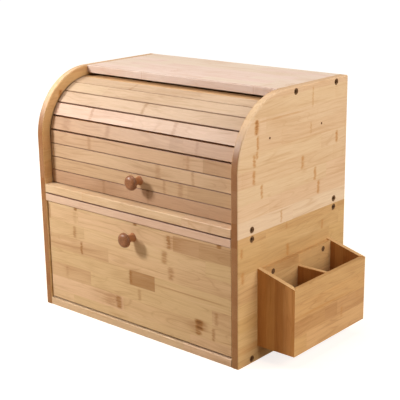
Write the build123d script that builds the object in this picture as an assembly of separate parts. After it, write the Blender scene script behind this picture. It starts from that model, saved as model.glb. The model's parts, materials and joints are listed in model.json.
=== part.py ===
from build123d import *
import math
import os

# Two-tier bamboo bread box: a roll-top compartment over a drawer, with a utensil holder on its right.
# Millimetres. X runs across the front, +Y towards the back, +Z up. The origin is the middle of the
# underside. Every "y" below is counted from the plane of the cabinet's front edges, and the function
# "place" turns it into the part's own Y.

os.makedirs("parts", exist_ok=True)

# Cabinet
WIDTH = 390.0
DEPTH = 252.0
TIER = 184.0                       # height of each tier
HEIGHT = 2 * TIER
SIDE = 12.0                        # thickness of the four side panels
BOARD = 13.0                       # thickness of the boards at the seam between the tiers
THIN_BOARD = 11.7                  # thickness of the underside and of the flat top
SEAM = 1.0                         # the drawer tier's top stays this far below its sides' top edges
CURVE = 100.0                      # radius of the upper sides' top front corner
FRONT = -DEPTH / 2
INNER = WIDTH / 2 - SIDE           # half the clear width between the sides
TOP_FRONT = 98.0                   # y of the top board's front edge
EDGE_ROUND = 2.0                   # on the side panels' long edges
BOARD_ROUND = 1.2                  # on the edges of floors, tops and drawer front

# Lowest and highest z of each floor and top
TOP_Z = (HEIGHT - THIN_BOARD, HEIGHT)
UPPER_FLOOR_Z = (TIER, TIER + BOARD)
LOWER_TOP_Z = (TIER - BOARD, TIER - SEAM)
LOWER_FLOOR_Z = (0.0, THIN_BOARD)

# Thin back panels in grooves
BACK = 5.0
BACK_Y = 242.0
BACK_TONGUE = 4.0                  # how far a panel reaches into each groove
SLIP = 0.1                         # play of a glued or let-in piece

# Fasteners
SCREW_R = 2.5
SCREW_HEAD_R = 4.6
SCREW_HEAD = 3.0
SCREW_LENGTH = 38.0
SCREW_SUNK = 0.8                   # head below the panel's face
SOCKET_R = 2.3
SOCKET_DEEP = 2.0
HOLE_PLAY = 0.05                   # on radius, round every screw and dowel
SCREW_LEVEL = 6.0                  # height of a row of screws from the nearest edge of its tier
UPPER_FLOOR_SCREW = 7.0            # and of the row in the upper tier's floor
BACK_SCREW_Y = 223.0
FRONT_SCREW_Y = 30.0
TOP_SCREW_Y = 126.0
SMALL_SCREW_R = 2.0
SMALL_HEAD_R = 4.0
SMALL_HEAD = 1.8
DOWEL_R = 4.0
DOWEL = 18.0
DOWEL_X = 150.0
DOWEL_Y = (30.0, 215.0)

# Roll top: ten slats glued to canvas, which bends on the line where two slats meet
SLATS = 10
PITCH = 20.55
SLAT_WIDE = 20.1
NARROWER = {1: -0.3, 4: 0.4, 5: 0.6}    # how much narrower some slats are, counted from 0 at the rear
SLAT = 4.5
SLAT_ROUND = 0.8
SLAT_END_GAP = 0.5
CANVAS = 0.5
CANVAS_WIDE = 20.15
CANVAS_SHORT = 4.0                 # canvas stops this far inside each slat end
BEND = 80.0                        # radius that the canvas line follows round the corner
CURTAIN_Y = CURVE - BEND           # canvas line where it runs straight up
CURTAIN_FOOT = 197.8               # lower edge of the closed curtain
HALVINGS = 50                      # steps in finding where the next slat begins on the canvas line
BEND_Z = HEIGHT - CURVE
GROOVE_DEEP = 5.0
GROOVE_BELOW = 0.6                 # how far the grooves reach below the curtain's foot
GROOVE_IN = 1.3                    # groove's room inside and outside the canvas line
GROOVE_OUT = 5.2
GROOVE_END_Y = 240.0
TONGUE = 4.4                       # the rear slat's tongues, in the grooves

# Knobs
KNOB_R = 11.0
KNOB_FOOT_R = 6.8
KNOB_NECK_R = 5.4
KNOB_NECK = 6.0                    # distance of the neck from the face that the knob stands on
KNOB_RIM = 16.4
KNOB_CROWN_R = 8.4                 # radius where the face turns into the rim
KNOB_CROWN = 21.6
KNOB_LONG = 23.0
KNOB_SCREW_R = 1.9
KNOB_SCREW_IN = 12.0               # depth of the knob's blind hole
KNOB_SCREW_SHORT = 1.0             # how far the screw stops short of its end
CURTAIN_HEAD_R = 3.4               # head of the roll-top knob's screw, sunk in the slat
CURTAIN_HEAD = 1.4
DRAWER_HEAD_R = 4.0
DRAWER_HEAD = 2.2
CURTAIN_KNOB_X = 4.0
CURTAIN_KNOB_UP = 1.6              # above the middle of its slat
KNOB_SLAT = 8                      # counted from 0 at the rear
DRAWER_KNOB_Z = 148.0

# Drawer
DRAWER_GAP = 1.2                   # beside the drawer front
DRAWER_GAP_ABOVE = 0.7
DRAWER_GAP_BELOW = 1.5
DRAWER_FRONT_Y = 2.5
DRAWER_FRONT = 12.0
DRAWER_SIDE = 10.0
DRAWER_SIDE_GAP = 1.5
DRAWER_RUN = 0.4                   # clearance over the cabinet's floor
DRAWER_HIGH = 135.0                # z of the drawer sides' top
DRAWER_END_Y = 236.0
PANEL = 4.0
PANEL_Z = 20.0
PANEL_TONGUE = 4.0
FRONT_DOWEL_R = 3.0
FRONT_DOWEL = 24.0
FRONT_DOWEL_IN = 8.0               # depth of each dowel in the drawer front
FRONT_DOWEL_Z = (45.0, 80.0, 115.0)
DRAWER_SCREW = 30.0
DRAWER_SCREW_Z = (50.0, 110.0)
PANEL_SCREW = 16.0
PANEL_SCREW_X = (-100.0, 0.0, 100.0)

# Utensil holder
HOLDER_Y = (42.0, 214.0)
HOLDER_OUT = 62.0
HOLDER_WALL = 7.0
HOLDER_Z = 21.5
HOLDER_BACK_TOP = 134.0
HOLDER_FRONT_TOP = 117.0
HOLDER_DIVIDER_TOP = 116.0
HOLDER_DIVIDER_Y = 125.5
HOLDER_SCREW_Z = 124.2
HOLDER_SCREW_SPREAD = 120.0
PILOT_R = 1.8
PILOT_DEEP = 9.0
PILOT_SPARE = 0.5                  # room left beyond the point of the holder's screws


def place(x, y, z):
    """The part's own point for a y counted from the front plane."""
    return Vector(x, FRONT + y, z)


def slab(x, y, z):
    """A square-cut board between the pairs of limits x, y and z."""
    middle = place(sum(x) / 2, sum(y) / 2, sum(z) / 2)
    return Pos(middle) * Box(x[1] - x[0], y[1] - y[0], z[1] - z[0])


def rod(start, direction, length, radius):
    """A round rod from a point, along a direction."""
    middle = start + direction * (length / 2)
    return Plane(middle, z_dir=direction) * Cylinder(radius, length)


def softened(board, axis, side, radius):
    """A board with the edges along one axis rounded on its lowest (0) or highest (-1) side in Y."""
    return fillet(board.edges().filter_by(axis).group_by(Axis.Y)[side], radius)


def upright(x, outline, thickness):
    """A panel standing in the YZ plane from x on, cut to an outline of (y, z) curves."""
    plane = Plane(place(x, 0, 0), x_dir=(0, 1, 0), z_dir=(1, 0, 0))
    return extrude(plane * make_face(outline), thickness)


# Where the screws go: (y, z) on both side panels of each tier
def screw_points():
    rows = {
        "upper_top_screws": (TOP_SCREW_Y, HEIGHT - SCREW_LEVEL),
        "upper_floor_screws": (FRONT_SCREW_Y, TIER + UPPER_FLOOR_SCREW),
        "lower_top_screws": (FRONT_SCREW_Y, TIER - SCREW_LEVEL),
        "lower_floor_screws": (FRONT_SCREW_Y, SCREW_LEVEL),
    }
    return {name: [(y, z), (BACK_SCREW_Y, z)] for name, (y, z) in rows.items()}


def side_screw(hand, y, z):
    """Socket-head wood screw driven inwards through a side panel."""
    inwards = Vector(-hand, 0, 0)
    start = place(hand * (WIDTH / 2 - SCREW_SUNK), y, z)
    screw = rod(start, inwards, SCREW_HEAD, SCREW_HEAD_R)
    screw += rod(start, inwards, SCREW_LENGTH, SCREW_R)
    socket = Plane(start, z_dir=inwards) * RegularPolygon(SOCKET_R, 6)
    return screw - extrude(socket, SOCKET_DEEP)


def screw_room(hand, y, z):
    """The stepped hole that a side screw needs through the panel and into the board."""
    inwards = Vector(-hand, 0, 0)
    start = place(hand * WIDTH / 2, y, z)
    head = rod(start, inwards, SCREW_SUNK + SCREW_HEAD, SCREW_HEAD_R + HOLE_PLAY)
    return head + rod(start, inwards, SCREW_SUNK + SCREW_LENGTH + HOLE_PLAY, SCREW_R + HOLE_PLAY)


def without_screw_rooms(piece, *groups):
    """A board or panel with the holes of the named groups of side screws."""
    for group in groups:
        for y, z in screw_points()[group]:
            for hand in (-1, 1):
                piece -= screw_room(hand, y, z)
    return piece


def dowel_points():
    return [(hand * DOWEL_X, y) for hand in (-1, 1) for y in DOWEL_Y]


def without_dowel_rooms(board):
    """A board with the blind holes of the four dowels between the tiers."""
    for x, y in dowel_points():
        start = place(x, y, TIER - DOWEL / 2 - HOLE_PLAY)
        board -= rod(start, Vector(0, 0, 1), DOWEL + 2 * HOLE_PLAY, DOWEL_R + HOLE_PLAY)
    return board


def back_panel(below, above):
    """Thin panel let into grooves all round, between the boards below and above it."""
    reach = BACK_TONGUE - SLIP
    x = (-INNER - reach, INNER + reach)
    return slab(x, (BACK_Y, BACK_Y + BACK), (below[1] - reach, above[0] + reach))


def back_groove(below, above):
    """Room for a back panel in the boards round it."""
    x = (-INNER - BACK_TONGUE, INNER + BACK_TONGUE)
    y = (BACK_Y - SLIP, BACK_Y + BACK + SLIP)
    return slab(x, y, (below[1] - BACK_TONGUE, above[0] + BACK_TONGUE))


def curtain_groove(x):
    """The curved groove in one upper side panel, where the curtain's ends run."""
    out, inn = BEND + GROOVE_OUT, BEND - GROOVE_IN
    foot = CURTAIN_FOOT - GROOVE_BELOW
    outline = [
        Line((CURVE - out, foot), (CURVE - out, BEND_Z)),
        CenterArc((CURVE, BEND_Z), out, 180, -90),
        Line((CURVE, BEND_Z + out), (GROOVE_END_Y, BEND_Z + out)),
        Line((GROOVE_END_Y, BEND_Z + out), (GROOVE_END_Y, BEND_Z + inn)),
        Line((GROOVE_END_Y, BEND_Z + inn), (CURVE, BEND_Z + inn)),
        CenterArc((CURVE, BEND_Z), inn, 90, 90),
        Line((CURVE - inn, BEND_Z), (CURVE - inn, foot)),
        Line((CURVE - inn, foot), (CURVE - out, foot)),
    ]
    return upright(x, outline, GROOVE_DEEP)


def holder_screw_points(z):
    middle = sum(HOLDER_Y) / 2
    return [(middle + hand * HOLDER_SCREW_SPREAD / 2, z) for hand in (-1, 1)]


def without_pilots(panel, z, radius):
    """A right-hand side panel with two blind holes for the holder's screws."""
    for y, height in holder_screw_points(z):
        panel -= rod(place(WIDTH / 2, y, height), Vector(-1, 0, 0), PILOT_DEEP, radius)
    return panel


def upper_side(hand):
    """Side of the upper tier: a quarter circle at its top front corner.

    Its long edges are rounded all the way, but for the square edge that meets the top board.
    """
    x = -WIDTH / 2 if hand < 0 else INNER
    outline = [
        Line((0, TIER), (0, BEND_Z)),
        CenterArc((CURVE, BEND_Z), CURVE, 180, -90),
        Polyline((CURVE, HEIGHT), (DEPTH, HEIGHT), (DEPTH, TIER), (0, TIER)),
    ]
    panel = upright(x, outline, SIDE)
    panel = softened(panel, Axis.Z, 0, EDGE_ROUND)
    beside_top = (-INNER - EDGE_ROUND, -INNER) if hand < 0 else (INNER, INNER + EDGE_ROUND)
    panel += slab(beside_top, (CURVE, DEPTH), (HEIGHT - EDGE_ROUND, HEIGHT))
    panel -= curtain_groove(-INNER - GROOVE_DEEP if hand < 0 else INNER)
    panel -= back_groove(UPPER_FLOOR_Z, TOP_Z)
    panel = without_screw_rooms(panel, "upper_top_screws", "upper_floor_screws")
    return without_pilots(panel, HOLDER_SCREW_Z + TIER, PILOT_R) if hand > 0 else panel


def lower_side(hand):
    """Side of the drawer tier."""
    x = (-WIDTH / 2, -INNER) if hand < 0 else (INNER, WIDTH / 2)
    panel = slab(x, (0, DEPTH), (0, TIER))
    panel = softened(panel, Axis.Z, 0, EDGE_ROUND)
    panel -= back_groove(LOWER_FLOOR_Z, LOWER_TOP_Z)
    panel = without_screw_rooms(panel, "lower_top_screws", "lower_floor_screws")
    screw_r = SMALL_SCREW_R + HOLE_PLAY
    return without_pilots(panel, HOLDER_SCREW_Z, screw_r) if hand > 0 else panel


def cabinet_board(y, z, groove, screws):
    """A floor or top between two sides."""
    board = slab((-INNER, INNER), y, z)
    board = softened(board, Axis.X, 0, BOARD_ROUND)
    return without_screw_rooms(board - groove, screws)


def cabinet():
    upper_groove = back_groove(UPPER_FLOOR_Z, TOP_Z)
    lower_groove = back_groove(LOWER_FLOOR_Z, LOWER_TOP_Z)
    full = (0, DEPTH)
    upper_floor = cabinet_board(full, UPPER_FLOOR_Z, upper_groove, "upper_floor_screws")
    lower_top = cabinet_board(full, LOWER_TOP_Z, lower_groove, "lower_top_screws")
    top = cabinet_board((TOP_FRONT, DEPTH), TOP_Z, upper_groove, "upper_top_screws")
    nodes = {
        "upper_side_left": upper_side(-1),
        "upper_side_right": upper_side(1),
        "upper_top_board": top,
        "upper_floor_board": without_dowel_rooms(upper_floor),
        "upper_back_panel": back_panel(UPPER_FLOOR_Z, TOP_Z),
        "lower_side_left": lower_side(-1),
        "lower_side_right": lower_side(1),
        "lower_top_board": without_dowel_rooms(lower_top),
        "lower_floor_board": cabinet_board(full, LOWER_FLOOR_Z, lower_groove, "lower_floor_screws"),
        "lower_back_panel": back_panel(LOWER_FLOOR_Z, LOWER_TOP_Z),
    }
    for name, points in screw_points().items():
        screws = [side_screw(hand, y, z) for hand in (-1, 1) for y, z in points]
        nodes[name] = Compound(children=screws)
    up = Vector(0, 0, 1)
    dowels = [rod(place(x, y, TIER - DOWEL / 2), up, DOWEL, DOWEL_R) for x, y in dowel_points()]
    nodes["tier_dowels"] = Compound(children=dowels)
    return nodes


def canvas_line(travel):
    """The (y, z) point at a distance along the canvas line: up, round the corner, then back."""
    straight = BEND_Z - CURTAIN_FOOT
    if travel < straight:
        return CURTAIN_Y, CURTAIN_FOOT + travel
    angle = min((travel - straight) / BEND, math.pi / 2)
    beyond = travel - straight - BEND * angle
    return CURVE - BEND * math.cos(angle) + beyond, BEND_Z + BEND * math.sin(angle)


def bend_points():
    """The points of the canvas line where two slats meet, from the curtain's foot to its rear edge."""
    points = [canvas_line(0)]
    travel = 0.0
    for _ in range(SLATS - 1):
        near, far = travel, travel + 2 * PITCH
        for _ in range(HALVINGS):
            travel = (near + far) / 2
            if math.dist(points[-1], canvas_line(travel)) < PITCH:
                near = travel
            else:
                far = travel
        points.append(canvas_line(travel))
    rear = points[-1]
    return points + [(rear[0] + PITCH, rear[1])]


def slat_plane(index):
    """The plane behind slat "index", counted from the rear: X across, Y up the slat, Z outwards."""
    low, high = bend_points()[SLATS - 1 - index:SLATS + 1 - index]
    middle = place(0, (low[0] + high[0]) / 2, (low[1] + high[1]) / 2)
    outwards = (0, low[1] - high[1], high[0] - low[0])
    return Plane(middle, x_dir=(1, 0, 0), z_dir=outwards)


def slat(index):
    half = INNER - SLAT_END_GAP
    piece = Pos(0, 0, SLAT / 2) * Box(2 * half, SLAT_WIDE - NARROWER.get(index, 0), SLAT)
    piece = fillet(piece.edges().filter_by(Axis.X).group_by(Axis.Z)[-1], SLAT_ROUND)
    if index == 0:
        half += TONGUE
        piece += Pos(0, 0, SLAT / 2) * Box(2 * half, SLAT_WIDE - 2 * SLAT_ROUND, SLAT)
    return piece


def canvas_strip():
    half = INNER - SLAT_END_GAP - CANVAS_SHORT
    return Pos(0, 0, -CANVAS / 2) * Box(2 * half, CANVAS_WIDE, CANVAS)


def knob():
    """Turned mushroom knob standing on Z = 0, with a blind hole for its screw."""
    outline = [
        Line((0, 0), (KNOB_FOOT_R, 0)),
        Spline((KNOB_FOOT_R, 0), (KNOB_NECK_R, KNOB_NECK), (KNOB_R, KNOB_RIM)),
        Spline((KNOB_R, KNOB_RIM), (KNOB_CROWN_R, KNOB_CROWN), (0, KNOB_LONG),
               tangents=((0, 1), (-1, 0))),
        Line((0, KNOB_LONG), (0, 0)),
    ]
    turned = revolve(Plane.XZ * make_face(outline), Axis.Z)
    return turned - rod(Vector(0, 0, 0), Vector(0, 0, 1), KNOB_SCREW_IN, KNOB_SCREW_R)


def knob_screw(wall, head_r, head):
    """Screw that holds a knob through a wall from behind; Z = 0 is the wall's outer face."""
    up = Vector(0, 0, 1)
    length = wall + KNOB_SCREW_IN - KNOB_SCREW_SHORT
    shank = rod(Vector(0, 0, -wall), up, length, KNOB_SCREW_R - HOLE_PLAY)
    return shank + rod(Vector(0, 0, -wall - head), up, head, head_r)


def roll_top():
    knob_at = Pos(CURTAIN_KNOB_X, CURTAIN_KNOB_UP, 0)
    shank = Cylinder(KNOB_SCREW_R + HOLE_PLAY, 3 * SLAT)
    sunk = Pos(0, 0, CURTAIN_HEAD / 2) * Cylinder(CURTAIN_HEAD_R + HOLE_PLAY, CURTAIN_HEAD + HOLE_PLAY)
    room = knob_at * (shank + sunk)
    canvas_hole = knob_at * Cylinder(CURTAIN_HEAD_R + HOLE_PLAY, 3 * CANVAS)
    nodes = {}
    for index in range(SLATS):
        piece, strip = slat(index), canvas_strip()
        if index == KNOB_SLAT:
            piece, strip = piece - room, strip - canvas_hole
        nodes[f"slat_{index + 1}"] = slat_plane(index) * piece
        nodes[f"canvas_strip_{index + 1}"] = slat_plane(index) * strip
    seat = slat_plane(KNOB_SLAT) * knob_at * Pos(0, 0, SLAT)
    nodes["roll_top_knob"] = seat * knob()
    nodes["roll_top_knob_screw"] = seat * knob_screw(SLAT - CURTAIN_HEAD, CURTAIN_HEAD_R, CURTAIN_HEAD)
    return nodes


def drawer():
    """Drawer with a doweled front, a screwed back and a thin floor in grooves."""
    half = INNER - DRAWER_GAP
    outer = INNER - DRAWER_SIDE_GAP
    inner = outer - DRAWER_SIDE
    behind = DRAWER_FRONT_Y + DRAWER_FRONT
    low = LOWER_FLOOR_Z[1] + DRAWER_RUN
    reach = PANEL_TONGUE - SLIP
    panel_z = (PANEL_Z, PANEL_Z + PANEL)
    panel = slab((-inner - reach, inner + reach), (behind - reach, DRAWER_END_Y), panel_z)
    room_x = (-inner - PANEL_TONGUE, inner + PANEL_TONGUE)
    panel_room = slab(room_x, (behind - PANEL_TONGUE, DEPTH), (PANEL_Z - SLIP, PANEL_Z + PANEL + SLIP))

    front_z = (LOWER_FLOOR_Z[1] + DRAWER_GAP_BELOW, LOWER_TOP_Z[0] - DRAWER_GAP_ABOVE)
    front = slab((-half, half), (DRAWER_FRONT_Y, behind), front_z)
    front = fillet(front.faces().sort_by(Axis.Y)[0].edges(), BOARD_ROUND) - panel_room
    back_z = (PANEL_Z + PANEL + SLIP, DRAWER_HIGH)
    back = slab((-inner, inner), (DRAWER_END_Y - DRAWER_SIDE, DRAWER_END_Y), back_z)
    sides = {}
    for name, hand in (("left", -1), ("right", 1)):
        x = (-outer, -inner) if hand < 0 else (inner, outer)
        side = slab(x, (behind, DRAWER_END_Y), (low, DRAWER_HIGH))
        sides[name] = softened_top(side) - panel_room

    dowels = []
    back_way = Vector(0, 1, 0)
    for x in (-outer + DRAWER_SIDE / 2, outer - DRAWER_SIDE / 2):
        for z in FRONT_DOWEL_Z:
            start = place(x, behind - FRONT_DOWEL_IN, z)
            dowels.append(rod(start, back_way, FRONT_DOWEL, FRONT_DOWEL_R))
            end = start - back_way * HOLE_PLAY
            hole = rod(end, back_way, FRONT_DOWEL + 2 * HOLE_PLAY, FRONT_DOWEL_R + HOLE_PLAY)
            front -= hole
            sides = {name: side - hole for name, side in sides.items()}

    screws = []
    for hand in (-1, 1):
        for z in DRAWER_SCREW_Z:
            start = place(hand * outer, DRAWER_END_Y - DRAWER_SIDE / 2, z)
            screw, room = small_screw(start, Vector(-hand, 0, 0), DRAWER_SCREW)
            screws.append(screw)
            back -= room
            sides = {name: side - room for name, side in sides.items()}

    floor_screws = []
    for x in PANEL_SCREW_X:
        start = place(x, DRAWER_END_Y - DRAWER_SIDE / 2, PANEL_Z)
        screw, room = small_screw(start, Vector(0, 0, 1), PANEL_SCREW)
        floor_screws.append(screw)
        back -= room
        panel -= room

    seat = Plane(place(0, DRAWER_FRONT_Y, DRAWER_KNOB_Z), x_dir=(1, 0, 0), z_dir=(0, -1, 0))
    front -= rod(seat.origin, back_way, DRAWER_FRONT, KNOB_SCREW_R + HOLE_PLAY)
    return {
        "drawer_front": front,
        "drawer_side_left": sides["left"],
        "drawer_side_right": sides["right"],
        "drawer_back": back,
        "drawer_floor": panel,
        "drawer_front_dowels": Compound(children=dowels),
        "drawer_back_screws": Compound(children=screws),
        "drawer_floor_screws": Compound(children=floor_screws),
        "drawer_knob": seat * knob(),
        "drawer_knob_screw": seat * knob_screw(DRAWER_FRONT, DRAWER_HEAD_R, DRAWER_HEAD),
    }


def softened_top(board):
    """A drawer side with its two long top edges rounded."""
    return fillet(board.edges().filter_by(Axis.Y).group_by(Axis.Z)[-1], BOARD_ROUND)


def small_screw(start, direction, length):
    """A small flush-headed screw and the room that it needs."""
    screw = rod(start, direction, SMALL_HEAD, SMALL_HEAD_R)
    screw += rod(start, direction, length, SMALL_SCREW_R)
    room = rod(start, direction, SMALL_HEAD, SMALL_HEAD_R + HOLE_PLAY)
    room += rod(start, direction, length + HOLE_PLAY, SMALL_SCREW_R + HOLE_PLAY)
    return screw, room


def holder_end(y, mitre):
    """End board of the holder: its top slopes down outwards, its outer edge is mitred."""
    against, outer = WIDTH / 2, WIDTH / 2 + HOLDER_OUT
    slope = [(against, HOLDER_Z), (outer, HOLDER_Z), (outer, HOLDER_FRONT_TOP)]
    slope.append((against, HOLDER_BACK_TOP))
    plane = Plane(place(0, y[1], 0), x_dir=(1, 0, 0), z_dir=(0, -1, 0))
    board = extrude(plane * make_face(Polyline(*slope, close=True)), y[1] - y[0])
    return board - mitre


def holder():
    """Open box with a divider, screwed to the lower right side through its back board."""
    against, outer = WIDTH / 2, WIDTH / 2 + HOLDER_OUT
    near, far = HOLDER_Y
    wall = HOLDER_WALL
    inside_x = (against + wall, outer - wall)
    inside_y = (near + wall, far - wall)

    # The outer board's ends and the end boards' outer edges meet on 45 degree planes
    wedge = [(outer, near), (outer, far), (outer - wall, far - wall), (outer - wall, near + wall)]
    points = [tuple(place(x, y, HOLDER_Z))[:2] for x, y in wedge]
    tall = HOLDER_BACK_TOP - HOLDER_Z
    mitre = Pos(0, 0, HOLDER_Z) * extrude(make_face(Polyline(*points, close=True)), tall)
    slope_drop = (HOLDER_BACK_TOP - HOLDER_FRONT_TOP) / HOLDER_OUT
    above = slab((outer - wall, outer), (near, far), (HOLDER_FRONT_TOP, HOLDER_BACK_TOP))
    front = mitre - above

    back = slab((against, inside_x[0]), inside_y, (HOLDER_Z, HOLDER_BACK_TOP - wall * slope_drop))
    divider_y = (HOLDER_DIVIDER_Y, HOLDER_DIVIDER_Y + wall)
    floor_top = HOLDER_Z + wall
    divider = slab(inside_x, divider_y, (floor_top, HOLDER_DIVIDER_TOP))
    divider = fillet(divider.edges().filter_by(Axis.X).group_by(Axis.Z)[-1], BOARD_ROUND)
    floor = slab(inside_x, inside_y, (HOLDER_Z, floor_top))

    screws = []
    for y, z in holder_screw_points(HOLDER_SCREW_Z):
        start = place(inside_x[0], y, z)
        screw, room = small_screw(start, Vector(-1, 0, 0), wall + PILOT_DEEP - PILOT_SPARE)
        screws.append(screw)
        back -= room
    return {
        "holder_back": back,
        "holder_front": front,
        "holder_end_near": holder_end((near, near + wall), mitre),
        "holder_end_far": holder_end((far - wall, far), mitre),
        "holder_divider": divider,
        "holder_floor": floor,
        "holder_screws": Compound(children=screws),
    }


for group in (cabinet(), roll_top(), drawer(), holder()):
    for name, shape in group.items():
        export_step(shape, f"parts/{name}.step")
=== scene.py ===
import bmesh
import bpy
import json
import math
import random
from mathutils import Matrix, Vector


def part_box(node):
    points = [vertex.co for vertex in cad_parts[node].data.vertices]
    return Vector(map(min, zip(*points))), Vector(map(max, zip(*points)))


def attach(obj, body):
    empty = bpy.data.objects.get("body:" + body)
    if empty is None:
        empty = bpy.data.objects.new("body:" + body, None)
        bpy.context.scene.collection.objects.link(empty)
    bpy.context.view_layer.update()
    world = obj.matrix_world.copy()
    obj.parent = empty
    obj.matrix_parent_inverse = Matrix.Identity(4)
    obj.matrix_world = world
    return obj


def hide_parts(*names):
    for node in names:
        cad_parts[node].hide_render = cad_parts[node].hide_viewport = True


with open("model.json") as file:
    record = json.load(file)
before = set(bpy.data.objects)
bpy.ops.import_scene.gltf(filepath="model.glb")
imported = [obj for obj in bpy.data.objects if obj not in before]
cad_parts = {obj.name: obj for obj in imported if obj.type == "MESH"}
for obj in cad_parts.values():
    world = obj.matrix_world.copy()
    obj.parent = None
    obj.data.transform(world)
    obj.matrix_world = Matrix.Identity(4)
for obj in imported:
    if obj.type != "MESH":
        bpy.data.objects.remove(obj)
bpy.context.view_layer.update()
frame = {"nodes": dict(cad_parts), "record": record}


# ---- Upper side panels -------------------------------------------------------------------------
# Edge-glued bamboo boards with a quarter-circle corner. Their strips run from front to back, so the
# long curved front edge shows browner end grain. They are sanded round and lacquered satin.

def rgb(red, green, blue):
    """A colour as it looks on a screen, 0 to 255, turned into the linear values that shaders take."""
    levels = [c / 255 for c in (red, green, blue)]
    return tuple(c / 12.92 if c <= 0.04045 else ((c + 0.055) / 1.055) ** 2.4 for c in levels) + (1.0,)


def add(tree, kind, inputs=(), **settings):
    """One shader node. Settings are named, and inputs pairs a socket with a value or another socket."""
    made = tree.nodes.new(kind)
    for name, value in settings.items():
        setattr(made, name, value)
    for key, value in dict(inputs).items():
        if isinstance(value, bpy.types.NodeSocket):
            tree.links.new(value, made.inputs[key])
        else:
            made.inputs[key].default_value = value
    return made


def calc(tree, operation, *values):
    """The result of a Math node."""
    return add(tree, "ShaderNodeMath", enumerate(values), operation=operation).outputs[0]


def tint(tree, factor, first, second, blend_type="MIX"):
    """Two colours mixed by a factor."""
    inputs = {0: factor, 6: first, 7: second}
    return add(tree, "ShaderNodeMix", inputs, data_type="RGBA", blend_type=blend_type).outputs[2]


def step(tree, value, low, high, out_low=0.0, out_high=1.0):
    """A smooth step of a value between two limits."""
    inputs = {0: value, 1: low, 2: high, 3: out_low, 4: out_high}
    return add(tree, "ShaderNodeMapRange", inputs, interpolation_type="SMOOTHSTEP").outputs[0]


def vector(tree, x, y, z):
    """Three numbers joined into a vector."""
    return add(tree, "ShaderNodeCombineXYZ", {0: x, 1: y, 2: z}).outputs[0]


def chance(tree, x, y, z):
    """Three random values, from 0 to 1, that stay the same for the same x, y and z."""
    noise = add(tree, "ShaderNodeTexWhiteNoise", {"Vector": vector(tree, x, y, z)}, noise_dimensions="3D")
    parts = add(tree, "ShaderNodeSeparateColor", {0: noise.outputs["Color"]})
    return parts.outputs


def grain_noise(tree, parts, stretch, detail=2.0):
    """Noise drawn out along the grain: stretch gives its features per metre along each of three parts."""
    scaled = [calc(tree, "MULTIPLY", part, size) for part, size in zip(parts, stretch)]
    inputs = {"Vector": vector(tree, *scaled), "Scale": 1.0, "Detail": detail, "Roughness": 0.6}
    return add(tree, "ShaderNodeTexNoise", inputs).outputs["Fac"]


def new_group(name, inputs, outputs):
    """An empty shader node group with named sockets, and its input and output nodes."""
    group = bpy.data.node_groups.new(name, "ShaderNodeTree")
    for label, kind in inputs:
        group.interface.new_socket(label, in_out="INPUT", socket_type=kind)
    for label, kind in outputs:
        group.interface.new_socket(label, in_out="OUTPUT", socket_type=kind)
    return group, add(group, "NodeGroupInput").outputs, add(group, "NodeGroupOutput").inputs


DASH = 0.0017         # height of one dash


def mark_group():
    """One knuckle of the cane: a column of short dashes along the grain, with a brown cloud about it."""
    number = "NodeSocketFloat"
    tree, given, result = new_group("bamboo mark", [
        ("Point", "NodeSocketVector"), ("Along", number), ("Across", number), ("Reach", number),
        ("Rise", number), ("Fade", number),
    ], [("Mask", number)])
    point = add(tree, "ShaderNodeSeparateXYZ", {0: given["Point"]}).outputs
    parts = [point["X"], point["Y"], point["Z"]]
    speckle = grain_noise(tree, parts, (60.0, 500.0, 500.0))
    wave = calc(tree, "SUBTRACT", grain_noise(tree, parts, (20.0, 330.0, 330.0)), 0.5)
    away = calc(tree, "SUBTRACT", point["X"], given["Along"])
    wavy = calc(tree, "ADD", away, calc(tree, "MULTIPLY", wave, 0.006))
    wavy = calc(tree, "ABSOLUTE", calc(tree, "DIVIDE", wavy, given["Reach"]))
    body = step(tree, wavy, 0.3, 2.0, 1.0, 0.0)
    body = calc(tree, "MULTIPLY", body, step(tree, speckle, 0.30, 0.65, 0.5, 0.9))
    row = calc(tree, "FLOOR", calc(tree, "DIVIDE", point["Y"], DASH))
    dash = chance(tree, row, given["Along"], 0.5)
    ragged = calc(tree, "DIVIDE", wavy, calc(tree, "ADD", calc(tree, "MULTIPLY", dash[0], 1.1), 0.4))
    core = step(tree, ragged, 0.3, 1.4, 1.0, 0.0)
    core = calc(tree, "MULTIPLY", core, step(tree, dash[1], 0.0, 1.0, 0.35, 1.0))
    fading = calc(tree, "DIVIDE", away, given["Fade"])
    cloud = calc(tree, "MULTIPLY", step(tree, fading, 0.0, 1.0, 0.60, 0.0), step(tree, fading, -0.3, 0.05))
    cloud = calc(tree, "MULTIPLY", cloud, step(tree, speckle, 0.30, 0.65, 0.5, 1.0))
    core = calc(tree, "MAXIMUM", core, body)
    height = calc(tree, "ABSOLUTE", calc(tree, "SUBTRACT", point["Y"], given["Across"]))
    height = calc(tree, "DIVIDE", height, given["Rise"])
    height = calc(tree, "ADD", height, calc(tree, "MULTIPLY", speckle, 0.3))
    rows = step(tree, height, 0.80, 1.25, 1.0, 0.0)
    tree.links.new(calc(tree, "MULTIPLY", calc(tree, "MAXIMUM", core, cloud), rows), result["Mask"])
    return tree


def block_group():
    """One short length of browner bamboo pieced into a strip, with square ends."""
    number = "NodeSocketFloat"
    tree, given, result = new_group("bamboo block", [
        ("Point", "NodeSocketVector"), ("Along", number), ("Across", number), ("Reach", number),
        ("Rise", number),
    ], [("Mask", number)])
    point = add(tree, "ShaderNodeSeparateXYZ", {0: given["Point"]}).outputs
    mask = 1.0
    for axis, middle, half in (("X", "Along", "Reach"), ("Y", "Across", "Rise")):
        off = calc(tree, "ABSOLUTE", calc(tree, "SUBTRACT", point[axis], given[middle]))
        inside = step(tree, calc(tree, "SUBTRACT", off, given[half]), -0.0004, 0.0004, 1.0, 0.0)
        mask = calc(tree, "MULTIPLY", mask, inside)
    tree.links.new(mask, result["Mask"])
    return tree


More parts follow.
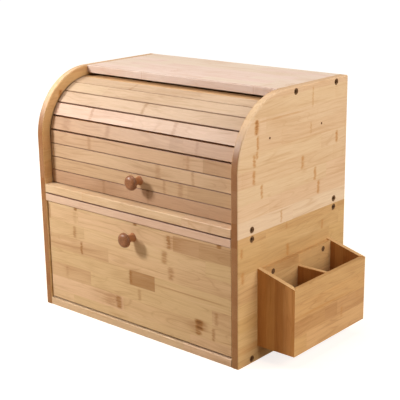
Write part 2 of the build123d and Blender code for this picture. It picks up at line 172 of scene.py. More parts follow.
CANE_PART = 0.21      # from one knuckle of the cane to the next
FINE_DASH = 0.0012    # height of one dash in the fainter knuckles that the strips have of their own


def bamboo_group():
    """Bamboo boards glued up from strips: x of "Point" runs along the grain and y across the strips."""
    number, colour, place = "NodeSocketFloat", "NodeSocketColor", "NodeSocketVector"
    tree, given, result = new_group("bamboo strips", [
        ("Point", place), ("Facing", place), ("Strip", number), ("Segment", number),
        ("Light", colour), ("Middle", colour), ("Dark", colour), ("End grain", colour),
        ("Knuckle", colour), ("Contrast", number), ("Pale strip", number), ("Mark", number),
        ("Block", number), ("Seed", number),
    ], [("Color", colour), ("Roughness", number), ("Height", number)])

    point = add(tree, "ShaderNodeSeparateXYZ", {0: given["Point"]}).outputs
    facing = add(tree, "ShaderNodeSeparateXYZ", {0: given["Facing"]}).outputs
    parts = [point["X"], point["Y"], point["Z"]]

    # Strips, and the lengths that each strip is pieced together from
    across = calc(tree, "DIVIDE", point["Y"], given["Strip"])
    strip = calc(tree, "FLOOR", across)
    of_strip = chance(tree, strip, given["Seed"], 0.5)
    along = calc(tree, "DIVIDE", point["X"], given["Segment"])
    shifted = calc(tree, "ADD", along, calc(tree, "MULTIPLY", of_strip[0], 7.0))
    segment = calc(tree, "FLOOR", shifted)
    of_segment = chance(tree, strip, segment, given["Seed"])

    # Most lengths are near the middle tone, some are lighter, and a few are darker
    light = calc(tree, "MULTIPLY", step(tree, of_segment[0], 0.30, 1.0), given["Contrast"])
    dark = calc(tree, "MULTIPLY", step(tree, of_segment[1], 0.60, 1.0, 0.0, 0.5), given["Contrast"])
    pale = calc(tree, "COMPARE", strip, given["Pale strip"], 0.5)
    wood = tint(tree, calc(tree, "MAXIMUM", light, pale), given["Middle"], given["Light"])
    wood = tint(tree, dark, wood, given["Dark"])

    # Some lengths are pinker and some more olive
    warm = step(tree, of_segment[2], 0.15, 0.85)
    hue = tint(tree, warm, rgb(250, 255, 240), rgb(255, 249, 250))
    wood = tint(tree, given["Contrast"], wood, hue, "MULTIPLY")
    wood = tint(tree, given["Block"], wood, given["Dark"])

    # Growth streaks, arched figure and fine fibres, all drawn out along the grain and a little wavy
    shift = calc(tree, "MULTIPLY", of_segment[2], 9.0)
    own = [calc(tree, "ADD", parts[0], shift), parts[1], parts[2]]
    wander = calc(tree, "SUBTRACT", grain_noise(tree, own, (6.0, 22.0, 22.0), 1.0), 0.5)
    own[1] = calc(tree, "ADD", own[1], calc(tree, "MULTIPLY", wander, 0.022))
    streak = grain_noise(tree, own, (7.0, 210.0, 210.0), 4.0)
    fibre = grain_noise(tree, own, (45.0, 1500.0, 1500.0), 2.0)
    cloud = grain_noise(tree, own, (9.0, 28.0, 28.0), 2.0)
    patchy = step(tree, grain_noise(tree, own, (5.0, 45.0, 45.0), 1.0), 0.38, 0.62, 0.35, 1.0)
    arch = calc(tree, "MULTIPLY", grain_noise(tree, own, (4.5, 34.0, 34.0), 1.0), 13.0)
    arch = calc(tree, "ABSOLUTE", calc(tree, "SUBTRACT", calc(tree, "FRACT", arch), 0.5))
    arch = calc(tree, "MULTIPLY", step(tree, arch, 0.36, 0.5), step(tree, cloud, 0.40, 0.62))
    brown = tint(tree, 0.55, wood, given["Dark"])
    pale_streak = calc(tree, "MULTIPLY", step(tree, streak, 0.28, 0.47, 0.40, 0.0), patchy)
    wood = tint(tree, pale_streak, wood, given["Light"])
    dark_streak = calc(tree, "MULTIPLY", step(tree, streak, 0.50, 0.70, 0.0, 0.85), patchy)
    wood = tint(tree, dark_streak, wood, brown)
    wood = tint(tree, step(tree, cloud, 0.48, 0.78, 0.0, 0.60), wood, brown)
    wood = tint(tree, calc(tree, "MULTIPLY", arch, 0.55), wood, brown)
    wood = tint(tree, step(tree, fibre, 0.35, 0.75, 0.0, 0.16), wood, given["Dark"], "MULTIPLY")

    # Knuckles of the cane: ragged dashes across a strip, with a brown cloud on one side of them
    cane = calc(tree, "DIVIDE", point["X"], CANE_PART)
    cane = calc(tree, "ADD", cane, calc(tree, "MULTIPLY", of_strip[1], 5.0))
    row = calc(tree, "FLOOR", calc(tree, "DIVIDE", point["Y"], FINE_DASH))
    dash = chance(tree, row, given["Seed"], 2.5)
    offset = calc(tree, "MULTIPLY", calc(tree, "SUBTRACT", calc(tree, "FRACT", cane), 0.5), CANE_PART)
    away = calc(tree, "ADD", offset, calc(tree, "MULTIPLY", dash[0], 0.004))
    dash_long = step(tree, dash[1], 0.0, 1.0, 0.0006, 0.0026)
    beside = calc(tree, "DIVIDE", calc(tree, "ABSOLUTE", away), dash_long)
    line = step(tree, beside, 0.5, 1.2, 0.55, 0.0)
    halo = calc(tree, "MULTIPLY", step(tree, away, 0.0, 0.004), step(tree, away, 0.004, 0.020, 0.35, 0.0))
    shown = calc(tree, "MULTIPLY", step(tree, of_strip[2], 0.55, 0.95), given["Contrast"])
    mark = calc(tree, "MULTIPLY", calc(tree, "MAXIMUM", line, halo), shown)
    mark = calc(tree, "MAXIMUM", mark, given["Mark"])
    wood = tint(tree, step(tree, mark, 0.0, 0.65, 0.0, 0.85), wood, given["Knuckle"])
    core = tint(tree, 1.0, given["Knuckle"], rgb(196, 176, 150), "MULTIPLY")
    wood = tint(tree, step(tree, mark, 0.55, 1.0, 0.0, 0.9), wood, core)

    # Glue lines between strips and at the butt joints
    edge = calc(tree, "ABSOLUTE", calc(tree, "SUBTRACT", calc(tree, "FRACT", across), 0.5))
    edge = calc(tree, "MULTIPLY", calc(tree, "SUBTRACT", 0.5, edge), given["Strip"])
    butt = calc(tree, "ABSOLUTE", calc(tree, "SUBTRACT", calc(tree, "FRACT", shifted), 0.5))
    butt = calc(tree, "MULTIPLY", calc(tree, "SUBTRACT", 0.5, butt), given["Segment"])
    glue = step(tree, calc(tree, "MINIMUM", edge, butt), 0.0001, 0.0006, 0.06, 0.0)
    wood = tint(tree, glue, wood, given["Dark"])

    # Cut ends of the fibres: browner, in bands as the strips meet them, dotted with dark bundles
    dots = grain_noise(tree, parts, (40.0, 900.0, 900.0), 2.0)
    pale_cut = tint(tree, 0.12, given["End grain"], given["Light"])
    cut = tint(tree, of_strip[0], given["End grain"], pale_cut)
    woody_cut = tint(tree, 0.3, given["End grain"], wood)
    cut = tint(tree, step(tree, cloud, 0.42, 0.62, 0.0, 0.35), cut, woody_cut)
    cut = tint(tree, step(tree, dots, 0.45, 0.70, 0.0, 0.35), cut, rgb(70, 40, 20))
    # The browner end grain comes in only where a face is nearly square to the grain, so the slanting upper
    # part of a curved edge keeps the paler face colour, partly as painted sheen
    end = step(tree, calc(tree, "ABSOLUTE", facing["X"]), 0.74, 1.0)
    tree.links.new(tint(tree, end, wood, cut), result["Color"])
    tree.links.new(step(tree, fibre, 0.2, 0.8, 0.36, 0.50), result["Roughness"])
    height = calc(tree, "ADD", calc(tree, "MULTIPLY", fibre, 0.6), calc(tree, "MULTIPLY", glue, -1.2))
    tree.links.new(height, result["Height"])
    return tree


MARK = mark_group()
BLOCK = block_group()
BAMBOO = bamboo_group()
NO_STRIP = -999.0
# Brown of the painted shade in the joints and gaps between parts
SEAM_SHADE_BROWN = rgb(98, 44, 6)
# Painted shade for the faces inside the box
INSIDE_SHADE_TINT = rgb(232, 214, 180)


def bamboo(name, order, tones, end_grain, strip=0.022, segment=0.16, contrast=1.0, seed=0.0, shift=0.0,
           pale=NO_STRIP, marks=(), blocks=(), shade_lines=(), knuckle=(188, 132, 70), shade_inside_of=None, gloss=0.40):
    """Satin lacquered bamboo. order says which of X, Y and Z run along the grain, across and through.

    A mark is its place along and across, its half length and half height and its fade, in millimetres,
    and how strong it is. A block is the same without the fade. A shade line is painted shade, a dark
    brown band where the wood meets its neighbour, or a broad darkening where less light falls: a
    direction, how far along it the band lies, its half width and how strong it is.
    Nearer the middle than shade_inside_of, across the box, the wood gets painted shade, darker and more
    golden.
    """
    material = bpy.data.materials.new(name)
    material.use_nodes = True
    tree = material.node_tree
    shader = tree.nodes["Principled BSDF"]
    texture = add(tree, "ShaderNodeTexCoord")
    place = add(tree, "ShaderNodeSeparateXYZ", {0: texture.outputs["Object"]}).outputs
    facing = add(tree, "ShaderNodeSeparateXYZ", {0: texture.outputs["Normal"]}).outputs
    measured = vector(tree, *[place[axis] for axis in order])
    drawn = {MARK: 0.0, BLOCK: 0.0}
    for group, places in ((MARK, marks), (BLOCK, blocks)):
        for *sizes, strength in places:
            values = zip(("Along", "Across", "Reach", "Rise", "Fade"), [size / 1000 for size in sizes])
            inputs = {"Point": measured, **dict(values)}
            mask = add(tree, "ShaderNodeGroup", inputs, node_tree=group).outputs["Mask"]
            drawn[group] = calc(tree, "MAXIMUM", drawn[group], calc(tree, "MULTIPLY", mask, strength))
    point = [place[axis] for axis in order]
    point[1] = calc(tree, "ADD", point[1], shift)
    light, middle, dark = (rgb(*tone) for tone in tones)
    wood = add(tree, "ShaderNodeGroup", {
        "Point": vector(tree, *point), "Facing": vector(tree, *[facing[axis] for axis in order]),
        "Strip": strip, "Segment": segment, "Light": light, "Middle": middle, "Dark": dark,
        "End grain": rgb(*end_grain), "Knuckle": rgb(*knuckle), "Contrast": contrast, "Pale strip": pale,
        "Mark": drawn[MARK], "Block": drawn[BLOCK], "Seed": seed,
    }, node_tree=BAMBOO).outputs
    colour = wood["Color"]
    # Painted shade on the inside faces, which lie in shade inside the box
    if shade_inside_of:
        in_inside_shade = step(tree, calc(tree, "ABSOLUTE", place["X"]), shade_inside_of - 0.001, shade_inside_of, 1.0, 0.0)
        colour = tint(tree, in_inside_shade, colour, INSIDE_SHADE_TINT, "MULTIPLY")
    # Painted shade: dark brown bands along joints and gaps, where shade falls, and broad darkenings where
    # less light falls
    for direction, distance, half, strength in shade_lines:
        inputs = {0: texture.outputs["Object"], 1: direction}
        level = add(tree, "ShaderNodeVectorMath", inputs, operation="DOT_PRODUCT").outputs["Value"]
        off = calc(tree, "ABSOLUTE", calc(tree, "SUBTRACT", level, distance / 1000))
        line = step(tree, off, 0.3 * half / 1000, half / 1000, strength, 0.0)
        colour = tint(tree, line, colour, SEAM_SHADE_BROWN)
    bump = add(tree, "ShaderNodeBump", {"Height": wood["Height"], "Strength": 0.25, "Distance": 0.0002})
    tree.links.new(colour, shader.inputs["Base Color"])
    tree.links.new(wood["Roughness"], shader.inputs["Roughness"])
    tree.links.new(bump.outputs["Normal"], shader.inputs["Normal"])
    shader.inputs["Specular IOR Level"].default_value = gloss
    return material


def finish_with(material, *names):
    """Gives CAD nodes a material in place of the plain one that they came with."""
    for name in names:
        slots = frame["nodes"][name].data.materials
        slots.clear()
        slots.append(material)


UPPER_TONES = ((229, 203, 170), (223, 191, 154), (190, 144, 94))
EDGE_BROWN = (148, 96, 52)
UPPER_MARKS = (
    (-86, 327, 3.4, 11, 9, 0.95), (-84, 306, 1.8, 11, 6, 0.65), (-85, 290, 2.0, 6, 5, 0.55),
    (-91, 283, 2.6, 10, 4, 0.65), (-92, 261, 2.6, 11, 4, 0.65), (-75, 239, 2.2, 11, 3, 0.60),
    (40, 349, 1.6, 17, -6, 0.40), (36, 306, 1.4, 10, 4, 0.40), (101, 283, 2.6, 10, -8, 0.75),
    (17, 261, 2.6, 11, 10, 0.65), (48, 239, 2.6, 11, 6, 0.60), (57, 217, 2.6, 11, 6, 0.60),
    (-31, 195, 1.8, 10, 4, 0.50), (-30, 333, 55, 1.6, 20, 0.40), (40, 295, 62, 1.3, 20, 0.28),
    (-10, 270, 50, 1.2, 30, 0.25), (-45, 258, 40, 1.2, 20, 0.25), (30, 250, 60, 1.2, 30, 0.25),
)
LOWEST_STRIP = 9.0    # the strip along the seam is the palest
# Inside faces nearer the middle than this get painted shade
SHADED_INNER_FACE = 0.185    # nearer the middle than this, the panel is seen from inside the box
finish_with(bamboo("upper side bamboo", "YZX", UPPER_TONES, EDGE_BROWN, segment=0.34, contrast=0.30,
                   seed=1.0, shift=0.014, pale=LOWEST_STRIP, marks=UPPER_MARKS, shade_inside_of=SHADED_INNER_FACE),
            "upper_side_left", "upper_side_right")


# ---- Lower side panels -------------------------------------------------------------------------
# The drawer tier's sides, glued up from more golden strips that also run from front to back. They are
# square boards, rounded at the front edges and screwed to the floor and top between them.

LOWER_TONES = ((222, 189, 141), (210, 170, 116), (164, 116, 62))
LOWER_MARKS = (
    (68, 159, 2.2, 8, 4, 0.55), (-16, 143, 3.0, 10, 8, 0.60), (-118, 163, 2.2, 8, 6, 0.60),
    (-116, 128, 2.6, 10, 8, 0.60), (-18, 178, 1.8, 5, -8, 0.45), (-60, 24, 70, 6.5, 30, 0.45),
    (20, 128, 60, 1.4, 30, 0.30), (-70, 100, 40, 1.2, 20, 0.30),
)
finish_with(bamboo("lower side bamboo", "YZX", LOWER_TONES, EDGE_BROWN, strip=0.0202, segment=0.28,
                   contrast=0.40, seed=2.0, shift=0.0096, marks=LOWER_MARKS),
            "lower_side_left", "lower_side_right")


# ---- Top board ---------------------------------------------------------------------------------
# The flat top, a bamboo board of the palest strips, which run across the box; their paleness is partly
# painted sheen. It is held between the sides by screws and has a rounded front edge, under which the
# roll top slides away.

# Pale, pinkish tones that are partly painted sheen, the light that the top's lacquer reflects
TOP_TONES_AND_SHEEN = ((242, 225, 214), (235, 214, 202), (208, 168, 138))
AHEAD = (0.0, -1.0, 0.0)
top_front = -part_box("upper_top_board")[0][1] * 1000
# Painted shade: the front edge and its rounded arrises a little darker than the top
top_shade_lines = [(AHEAD, top_front, 3.0, 0.26)]
finish_with(bamboo("top board bamboo", "XYZ", TOP_TONES_AND_SHEEN, EDGE_BROWN, segment=0.24, contrast=0.55, seed=3.0,
                   shade_lines=top_shade_lines), "upper_top_board")


# ---- Floors and the drawer tier's top ----------------------------------------------------------
# Three full-depth bamboo boards, screwed between the sides, with their front edges flush. The lowest is
# the underside, and the other two meet where the tiers are stacked, with painted shade, partly dirt,
# along the joint between them.

FLOOR_TONES = ((226, 197, 166), (215, 184, 150), (174, 130, 87))
UP = (0.0, 0.0, 1.0)
floors = ("upper_floor_board", "lower_floor_board")
# Painted shade, partly dirt, under the upper floor along the tiers' joint
floor_shade_lines = [(UP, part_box(floors[0])[0][2] * 1000, 1.0, 0.85)]
finish_with(bamboo("floor board bamboo", "XYZ", FLOOR_TONES, EDGE_BROWN, segment=0.30, contrast=0.4,
                   seed=4.0, shade_lines=floor_shade_lines), *floors)
PINK_TONES = ((222, 191, 171), (212, 180, 156), (178, 134, 102))
low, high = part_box("lower_top_board")
# Painted shade on the lower top board: on its top along the tiers' joint, and under it, in the gap above
# the drawer
lower_top_shade_lines = [(UP, high[2] * 1000, 1.0, 0.85), (UP, low[2] * 1000, 0.7, 0.4)]
finish_with(bamboo("lower top bamboo", "XYZ", PINK_TONES, EDGE_BROWN, segment=0.36, contrast=0.3, seed=5.0,
                   shade_lines=lower_top_shade_lines), "lower_top_board")


# ---- Back panels -------------------------------------------------------------------------------
# Thin bamboo boards let into grooves round the back of each tier, glued up from wider strips. They are
# as plain as the drawer's box, and get the same tones.

PANEL_TONES = ((224, 193, 152), (214, 179, 135), (184, 140, 96))
finish_with(bamboo("thin panel bamboo", "XZY", PANEL_TONES, EDGE_BROWN, strip=0.030, segment=0.30,
                   contrast=0.6, seed=6.0), "upper_back_panel", "lower_back_panel")


# ---- Slats of the roll top ---------------------------------------------------------------------
# Ten solid bamboo slats, each cut from one strip, so each has its own tone. The rear slat lies under
# the top board, with tongues in the side grooves.

SLAT_TONES = {
    1: (213, 172, 128),
    2: (204, 175, 148),
    3: (206, 179, 152),
    4: (205, 178, 153),
    5: (208, 176, 153),
    6: (191, 154, 123),
    7: (207, 173, 143),
    8: (205, 172, 141),
    9: (197, 164, 129),
    10: (187, 151, 120),
}
LIGHTER = 1.04
DARKER = (0.78, 0.70, 0.58)
KNUCKLE_DARKER = (0.78, 0.68, 0.56)

# Each slat's knuckles, as (along, half length, fade), and its browner lengths, as (along, half length,
# strength), in millimetres. They reach over the slat's whole height.
SLAT_MARKS = {
    2: ((-62, 2.6, 4),),
    4: ((-8, 3.0, 1),),
    5: ((-103, 2.8, 5), (62, 3.2, 12)),
    6: ((-150, 8.6, 14), (-62, 4.6, 8), (110, 2.8, 20)),
    7: ((-98, 3.6, 4), (96, 3.0, -40)),
    8: ((40, 4.4, 8), (105, 2.4, 1)),
    9: ((82, 4.2, 8), (52, 2.4, 1)),
    10: ((-70, 3.0, 9), (20, 2.6, -8)),
}
SLAT_MARK_STRENGTH = 0.4
SLAT_BLOCKS = {6: ((120, 60, 0.25),), 7: ((155, 32, 0.45),), 9: ((140, 45, 0.2),)}
ANY_HEIGHT = (270.0, 150.0)    # middle and half of the curtain's reach in height
SLAT_WIDE = 20.1

# How strong the painted shade is along the slats' edges at each joint, from the curtain's rear edge to
# its foot. It stands for the shade that falls in the gaps between the slats.
JOINT_PAINTED_SHADES = (0.0, 0.0, 0.1, 0.3, 0.6, 0.9, 0.8, 0.5, 0.6, 0.5, 0.8)

# The lines where two slats meet are the bends of the curtain, as (y, z) from its rear to its foot
bends = [joint["pos_m"][1:] for joint in frame["record"]["behaviour"]["joints"] if "bend" in joint["name"]]
pitch = math.dist(bends[-1], bends[-2])
bends = [(bends[0][0] + pitch, bends[0][1]), *bends, (bends[-1][0], bends[-1][1] - pitch)]
for number, tone in SLAT_TONES.items():
    light = [min(255, level * LIGHTER) for level in tone]
    dark = [level * share for level, share in zip(tone, DARKER)]
    knuckle = [level * share for level, share in zip(tone, KNUCKLE_DARKER)]
    marks = [(along, ANY_HEIGHT[0], reach, ANY_HEIGHT[1], fade, SLAT_MARK_STRENGTH)
             for along, reach, fade in SLAT_MARKS.get(number, ())]
    blocks = [(along, ANY_HEIGHT[0], reach, ANY_HEIGHT[1], strength)
              for along, reach, strength in SLAT_BLOCKS.get(number, ())]
    high, low = Vector((0.0, *bends[number - 1])), Vector((0.0, *bends[number]))
    up_slat = (high - low).normalized()
    middle = up_slat.dot(high + low) / 2 * 1000
    # Painted shade along both long edges of each slat, darker where the joint is deeper
    edges = [(up_slat, middle + side * SLAT_WIDE / 2, 1.0, JOINT_PAINTED_SHADES[joint])
             for side, joint in ((1, number - 1), (-1, number))]
    finish_with(bamboo(f"slat bamboo {number}", "XZY", (light, tone, dark), EDGE_BROWN, strip=2.0,
                       segment=0.55, contrast=0.3, seed=10.0 + number, marks=marks, blocks=blocks,
                       shade_lines=edges, knuckle=knuckle), f"slat_{number}")


# ---- Canvas behind the slats -------------------------------------------------------------------
# One cotton cloth glued to the slats, modelled as a strip behind each. It lets the curtain bend where
# two slats meet, and its cut ends are a little ragged.

THREADS = 1500.0


def canvas():
    """Plain-woven brown cotton, with its threads counted per metre along the strip's own UV map."""
    material = bpy.data.materials.new("canvas")
    material.use_nodes = True
    tree = material.node_tree
    shader = tree.nodes["Principled BSDF"]
    texture = add(tree, "ShaderNodeTexCoord")
    place = add(tree, "ShaderNodeSeparateXYZ", {0: texture.outputs["UV"]}).outputs
    warp = calc(tree, "SINE", calc(tree, "MULTIPLY", place["X"], THREADS * math.pi))
    weft = calc(tree, "SINE", calc(tree, "MULTIPLY", place["Y"], THREADS * math.pi))
    over = calc(tree, "MULTIPLY", warp, weft)
    weave = step(tree, over, -0.6, 0.6)
    fuzz = grain_noise(tree, [place["X"], place["Y"], 0.0], (240.0, 240.0, 1.0), 3.0)
    cloth = tint(tree, weave, rgb(150, 98, 54), rgb(176, 122, 72))
    cloth = tint(tree, step(tree, fuzz, 0.4, 0.7, 0.0, 0.3), cloth, rgb(118, 74, 40))
    bump = add(tree, "ShaderNodeBump", {"Height": weave, "Strength": 0.6, "Distance": 0.0002})
    tree.links.new(cloth, shader.inputs["Base Color"])
    tree.links.new(bump.outputs["Normal"], shader.inputs["Normal"])
    shader.inputs["Roughness"].default_value = 0.92
    return material


CANVAS = canvas()
CANVAS_SIZE = (0.357, 0.0201)
CANVAS_THICK = 0.0004
CANVAS_GAP = 0.00003    # between the canvas and its slat
CELL = 0.002            # size of the mesh's squares
FRAY = 0.0004           # how far the cut ends stray
KNOB_SLAT = 9
SCREW_HOLE = 0.0036     # radius


def canvas_strip(number, low, high, hole):
    """The canvas behind one slat, between two bends given as (y, z), with a hole for a knob's screw."""
    across, along = CANVAS_SIZE[0] / 2, CANVAS_SIZE[1] / 2
    shape = bmesh.new()
    bmesh.ops.create_grid(shape, x_segments=round(across / CELL), y_segments=round(along / CELL), size=1.0)
    bmesh.ops.scale(shape, vec=(across, along, 1.0), verts=shape.verts)
    for vert in shape.verts:
        if abs(vert.co.x) > across - CELL / 2:
            vert.co.x += random.uniform(-FRAY, FRAY)
    if hole:
        inside = [face for face in shape.faces if (face.calc_center_median() - hole).length < SCREW_HOLE]
        bmesh.ops.delete(shape, geom=inside, context="FACES")
        for vert in shape.verts:
            if vert.is_boundary and (vert.co - hole).length < SCREW_HOLE + CELL:
                vert.co = hole + (vert.co - hole).normalized() * SCREW_HOLE
    bmesh.ops.solidify(shape, geom=shape.faces[:], thickness=CANVAS_THICK)
    bmesh.ops.recalc_face_normals(shape, faces=shape.faces)
    threads = shape.loops.layers.uv.new("threads")
    for face in shape.faces:
        for loop in face.loops:
            loop[threads].uv = (loop.vert.co.x, loop.vert.co.y)
    low, high = Vector((0.0, *low)), Vector((0.0, *high))
    up_slat = (high - low).normalized()
    side = Vector((1.0, 0.0, 0.0))
    outwards = side.cross(up_slat)
    turn = Matrix((side, up_slat, outwards)).transposed().to_4x4()
    bmesh.ops.transform(shape, matrix=Matrix.Translation((low + high) / 2) @ turn, verts=shape.verts)
    highest = max((vert.co - low).dot(outwards) for vert in shape.verts)
    bmesh.ops.translate(shape, vec=-outwards * (highest + CANVAS_GAP), verts=shape.verts)
    mesh = bpy.data.meshes.new(f"canvas_{number}")
    shape.to_mesh(mesh)
    shape.free()
    mesh.materials.append(CANVAS)
    piece = bpy.data.objects.new(f"canvas_{number}", mesh)
    bpy.context.collection.objects.link(piece)
    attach(piece, f"slat_{number}")
    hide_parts(f"canvas_strip_{number}")


screw_low, screw_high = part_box("roll_top_knob_screw")
screw_x, screw_z = ((screw_low[axis] + screw_high[axis]) / 2 for axis in (0, 2))
random.seed(3)
for number, (high, low) in enumerate(zip(bends, bends[1:]), start=1):
    screw_at = Vector((screw_x, screw_z - (low[1] + high[1]) / 2, 0.0))
    canvas_strip(number, low, high, screw_at if number == KNOB_SLAT else None)


# ---- Drawer ------------------------------------------------------------------------------------
# The front is the showpiece: short strips of uneven tone in a staggered pattern, with plain edges.
# The box behind it is lighter bamboo, with a thin floor let into grooves.

FRONT_TONES = ((226, 194, 160), (211, 179, 137), (158, 112, 64))
FRONT_MARKS = (
    (-120, 168, 3, 3, 3, 0.75), (4, 169, 3.2, 3, 3, 0.80), (161, 167.5, 3.4, 3, 3, 0.80),
    (-122, 154, 4, 11, 40, 0.25), (-124, 131, 3, 11, 8, 0.45), (-110, 108, 2.2, 11, 4, 0.65),
    (70, 155, 3.8, 11.5, 60, 0.66), (61, 131, 5.0, 11.5, 14, 0.48), (73, 109, 5.0, 11, 8, 0.44),
    (-7, 85.5, 3.0, 11.5, 8, 0.55), (-34, 40, 6.0, 11.5, -90, 0.72), (-145, 63, 2.8, 11, 4, 0.28),
    (10, 62, 3.0, 10.5, 5, 0.38), (124, 46, 6.4, 9, 26, 1.0), (122, 40, 5.0, 11, -34, 0.62),
    (155, 62, 3.0, 11, 5, 0.40), (150, 38, 2.6, 11, 5, 0.45), (110, 85.5, 66, 1.6, 20, 0.35),
)
FRONT_BLOCKS = ((-186, 155, 9, 11.5, 0.60), (130, 155, 52, 11.5, 0.45), (16, 85.5, 25, 11.5, 0.75))
low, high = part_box("drawer_front")
ACROSS = (1.0, 0.0, 0.0)
# Painted shade in the gaps below and beside the drawer front, and a faint broad darkening towards its
# right end, where less light falls
front_shade_lines = [(UP, low[2] * 1000, 1.5, 0.95), (ACROSS, low[0] * 1000, 0.8, 0.5),
               (ACROSS, high[0] * 1000, 1.0, 0.5), (ACROSS, high[0] * 1000, 160.0, 0.05)]
finish_with(bamboo("drawer front bamboo", "XZY", FRONT_TONES, EDGE_BROWN, strip=0.023, segment=0.24,
                   contrast=0.45, seed=7.0, shift=0.018, marks=FRONT_MARKS, blocks=FRONT_BLOCKS,
                   shade_lines=front_shade_lines, knuckle=(148, 97, 38)), "drawer_front")
finish_with(bamboo("drawer side bamboo", "YZX", PANEL_TONES, EDGE_BROWN, contrast=0.5, seed=8.0),
            "drawer_side_left", "drawer_side_right")
finish_with(bamboo("drawer back bamboo", "XZY", PANEL_TONES, EDGE_BROWN, contrast=0.5, seed=9.0),
            "drawer_back")
finish_with(bamboo("drawer floor bamboo", "XYZ", PANEL_TONES, EDGE_BROWN, strip=0.030, segment=0.30,
                   contrast=0.5, seed=21.0), "drawer_floor")


# ---- Utensil holder ----------------------------------------------------------------------------
# Thinner boards of darker bamboo with mitred corners, open at the top and parted by a divider. The end
# boards' strips stand upright.

HOLDER_TONES = ((222, 183, 131), (206, 161, 108), (152, 99, 50))
HOLDER_EDGE = (190, 132, 76)
HOLDER_MARKS = (
    (29, 51, 2.4, 10, 8, 0.40), (69, 66, 4, 6, 8, 0.25), (-30, 76, 70, 1.6, 30, 0.40),
    (20, 92, 50, 1.2, 30, 0.30),
)
HOLDER_BLOCKS = ((-34, 61, 52, 10, 0.28),)
END_TONES = ((210, 155, 97), (195, 133, 76), (160, 98, 47))
finish_with(bamboo("holder bamboo", "YZX", HOLDER_TONES, HOLDER_EDGE, strip=0.024, segment=0.22,
                   contrast=0.4, seed=22.0, marks=HOLDER_MARKS, blocks=HOLDER_BLOCKS, gloss=0.25),
            "holder_front", "holder_back", "holder_floor")
finish_with(bamboo("holder end bamboo", "ZXY", END_TONES, HOLDER_TONES[0], strip=0.014, segment=0.60,
                   contrast=0.8, seed=23.0, gloss=0.15),
            "holder_end_near", "holder_end_far", "holder_divider")


# ---- Knobs -------------------------------------------------------------------------------------
# Two turned mushroom knobs of a browner wood, each held from behind by a screw. The grain runs along
# the knob's axis, so its face shows rings.

NECK_BOUNCE_LIGHT = (0.013, 0.010)    # distances from the face between which the neck gets a painted glow of light bounced from the face


def turned_wood(name, face):
    """Stained wood of a knob that stands on a face at this y. Its neck is painted paler than its head, as
    painted light bounced from the face.
    """
    material = bpy.data.materials.new(name)
    material.use_nodes = True
    tree = material.node_tree
    shader = tree.nodes["Principled BSDF"]
    texture = add(tree, "ShaderNodeTexCoord")
    place = add(tree, "ShaderNodeSeparateXYZ", {0: texture.outputs["Object"]}).outputs
    parts = [place["X"], place["Y"], place["Z"]]
    streak = grain_noise(tree, parts, (700.0, 40.0, 700.0), 3.0)
    cloud = grain_noise(tree, parts, (90.0, 60.0, 90.0), 2.0)
    wood = tint(tree, step(tree, streak, 0.35, 0.7), rgb(158, 106, 70), rgb(128, 80, 48))
    wood = tint(tree, step(tree, cloud, 0.4, 0.7, 0.0, 0.4), wood, rgb(108, 66, 40))
    # Painted light: the neck is made paler, as if lit by light bounced from the face
    neck = step(tree, place["Y"], face - NECK_BOUNCE_LIGHT[0], face - NECK_BOUNCE_LIGHT[1], 0.0, 0.7)
    wood = tint(tree, neck, wood, rgb(178, 118, 74))
    bump = add(tree, "ShaderNodeBump", {"Height": streak, "Strength": 0.2, "Distance": 0.0002})
    tree.links.new(wood, shader.inputs["Base Color"])
    tree.links.new(bump.outputs["Normal"], shader.inputs["Normal"])
    shader.inputs["Roughness"].default_value = 0.38
    shader.inputs["Specular IOR Level"].default_value = 0.45
    return material


for knob in ("drawer_knob", "roll_top_knob"):
    finish_with(turned_wood(knob.replace("_", " ") + " wood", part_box(knob)[1][1]), knob)


# ---- Screws and dowels -------------------------------------------------------------------------
# Dark plated steel screws with socket heads sit a little below the panels. Plain wood dowels locate
# the tiers and the drawer front, and don't show.

def dark_steel():
    """Dark brown plating, scuffed a little paler by the driver."""
    material = bpy.data.materials.new("dark plated steel")
    material.use_nodes = True
    tree = material.node_tree
    shader = tree.nodes["Principled BSDF"]
    texture = add(tree, "ShaderNodeTexCoord")
    place = add(tree, "ShaderNodeSeparateXYZ", {0: texture.outputs["Object"]}).outputs
    scuff = grain_noise(tree, list(place), (900.0, 900.0, 900.0), 3.0)
    metal = tint(tree, step(tree, scuff, 0.4, 0.7), rgb(104, 72, 42), rgb(150, 118, 84))
    tree.links.new(metal, shader.inputs["Base Color"])
    tree.links.new(step(tree, scuff, 0.3, 0.7, 0.35, 0.55), shader.inputs["Roughness"])
    shader.inputs["Metallic"].default_value = 0.5
    return material


finish_with(dark_steel(), "upper_top_screws", "upper_floor_screws", "lower_top_screws",
            "lower_floor_screws", "holder_screws", "drawer_back_screws", "drawer_floor_screws",
            "drawer_knob_screw", "roll_top_knob_screw")
finish_with(bamboo("dowel wood", "YZX", PANEL_TONES, EDGE_BROWN, strip=0.05, contrast=0.3, seed=30.0),
            "tier_dowels", "drawer_front_dowels")


# ---- Floor, light and camera -------------------------------------------------------------------
# A pale studio: a floor that looks white to the camera, under a small soft key light from the upper
# left, with broad fills. Light that comes back from the room is warm, so shadows on the wood stay brown.

FLOOR_COLOUR = (0.54, 0.45, 0.35, 1.0)
WHITE = (1.0, 1.0, 1.0, 1.0)
GLOW_RADII = (0.35, 1.2)
GLOW = (0.77, 1.0)


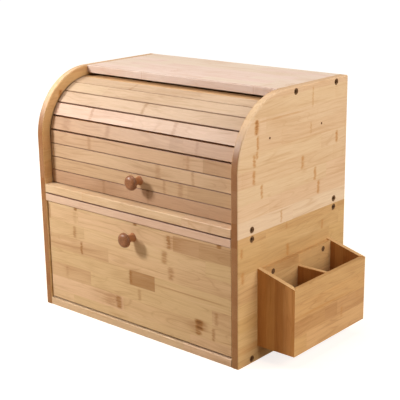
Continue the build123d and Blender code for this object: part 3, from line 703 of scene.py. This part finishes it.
def plain_floor():
    """Matt floor with a glow that only the camera sees, weaker near the box, where its shadow falls."""
    material = bpy.data.materials.new("white floor")
    material.use_nodes = True
    tree = material.node_tree
    tree.nodes.clear()
    seen = add(tree, "ShaderNodeLightPath").outputs["Is Camera Ray"]
    paint = add(tree, "ShaderNodeBsdfDiffuse", {"Color": FLOOR_COLOUR})
    texture = add(tree, "ShaderNodeTexCoord")
    away = add(tree, "ShaderNodeVectorMath", {0: texture.outputs["Object"]}, operation="LENGTH")
    strength = calc(tree, "MULTIPLY", seen, step(tree, away.outputs["Value"], *GLOW_RADII, *GLOW))
    glow = add(tree, "ShaderNodeEmission", {"Color": WHITE, "Strength": strength})
    both = add(tree, "ShaderNodeAddShader", {0: paint.outputs[0], 1: glow.outputs[0]})
    add(tree, "ShaderNodeOutputMaterial", {"Surface": both.outputs[0]})
    return material


shape = bmesh.new()
bmesh.ops.create_circle(shape, cap_ends=True, segments=64, radius=6.0)
ground = bpy.data.meshes.new("floor")
shape.to_mesh(ground)
shape.free()
ground.materials.append(plain_floor())
floor = bpy.data.objects.new("floor", ground)
bpy.context.collection.objects.link(floor)


LAMP_AIM = Vector((0.0, -0.13, 0.19))


def lamp(name, azimuth, elevation, power, size, distance=2.0, colour=WHITE[:3]):
    """A square soft light: azimuth is counted from the front towards the right, in degrees."""
    turn, rise = math.radians(azimuth), math.radians(elevation)
    way = Vector((math.sin(turn) * math.cos(rise), -math.cos(turn) * math.cos(rise), math.sin(rise)))
    light = bpy.data.lights.new(name, "AREA")
    light.energy = power
    light.color = colour
    light.size = size
    made = bpy.data.objects.new(name, light)
    made.location = LAMP_AIM + way * distance
    made.rotation_euler = way.to_track_quat("Z", "Y").to_euler()
    bpy.context.collection.objects.link(made)


lamp("key", azimuth=-41.6, elevation=31.0, power=9.1, size=0.19, distance=0.95)
lamp("left fill", azimuth=-80.0, elevation=12.0, power=2.2, size=1.0, distance=1.1,
     colour=(1.0, 0.84, 0.62))
lamp("overhead", azimuth=180.0, elevation=84.0, power=7.7, size=1.0, distance=1.1)
lamp("right fill", azimuth=100.0, elevation=22.0, power=30.0, size=1.3)

ROOM_SHADE = (0.128, 0.083, 0.042, 1.0)
world = bpy.data.worlds.new("studio")
world.use_nodes = True
bpy.context.scene.world = world
sky = world.node_tree
sky.nodes.clear()
seen = add(sky, "ShaderNodeLightPath").outputs["Is Camera Ray"]
shade = tint(sky, seen, ROOM_SHADE, WHITE)
background = add(sky, "ShaderNodeBackground", {"Color": shade, "Strength": 1.0})
add(sky, "ShaderNodeOutputWorld", {"Surface": background.outputs[0]})

# The photograph's viewing angle: a long lens from the right front, a little above
CAMERA_AT = Vector((0.9719, -1.0916, 0.5983))
YAW, PITCH, ROLL = 0.7165, 0.2817, -0.0142
LENS = 90.4
ahead = Vector((-math.sin(YAW) * math.cos(PITCH), math.cos(YAW) * math.cos(PITCH), -math.sin(PITCH)))
right = ahead.cross(Vector((0.0, 0.0, 1.0))).normalized()
up = right.cross(ahead)
right, up = right * math.cos(ROLL) + up * math.sin(ROLL), up * math.cos(ROLL) - right * math.sin(ROLL)
lens = bpy.data.cameras.new("camera")
lens.lens = LENS
lens.clip_end = 50.0
camera = bpy.data.objects.new("camera", lens)
camera.matrix_world = Matrix.Translation(CAMERA_AT) @ Matrix((right, up, -ahead)).transposed().to_4x4()
bpy.context.collection.objects.link(camera)
bpy.context.scene.camera = camera
bpy.context.scene.view_settings.view_transform = "Standard"
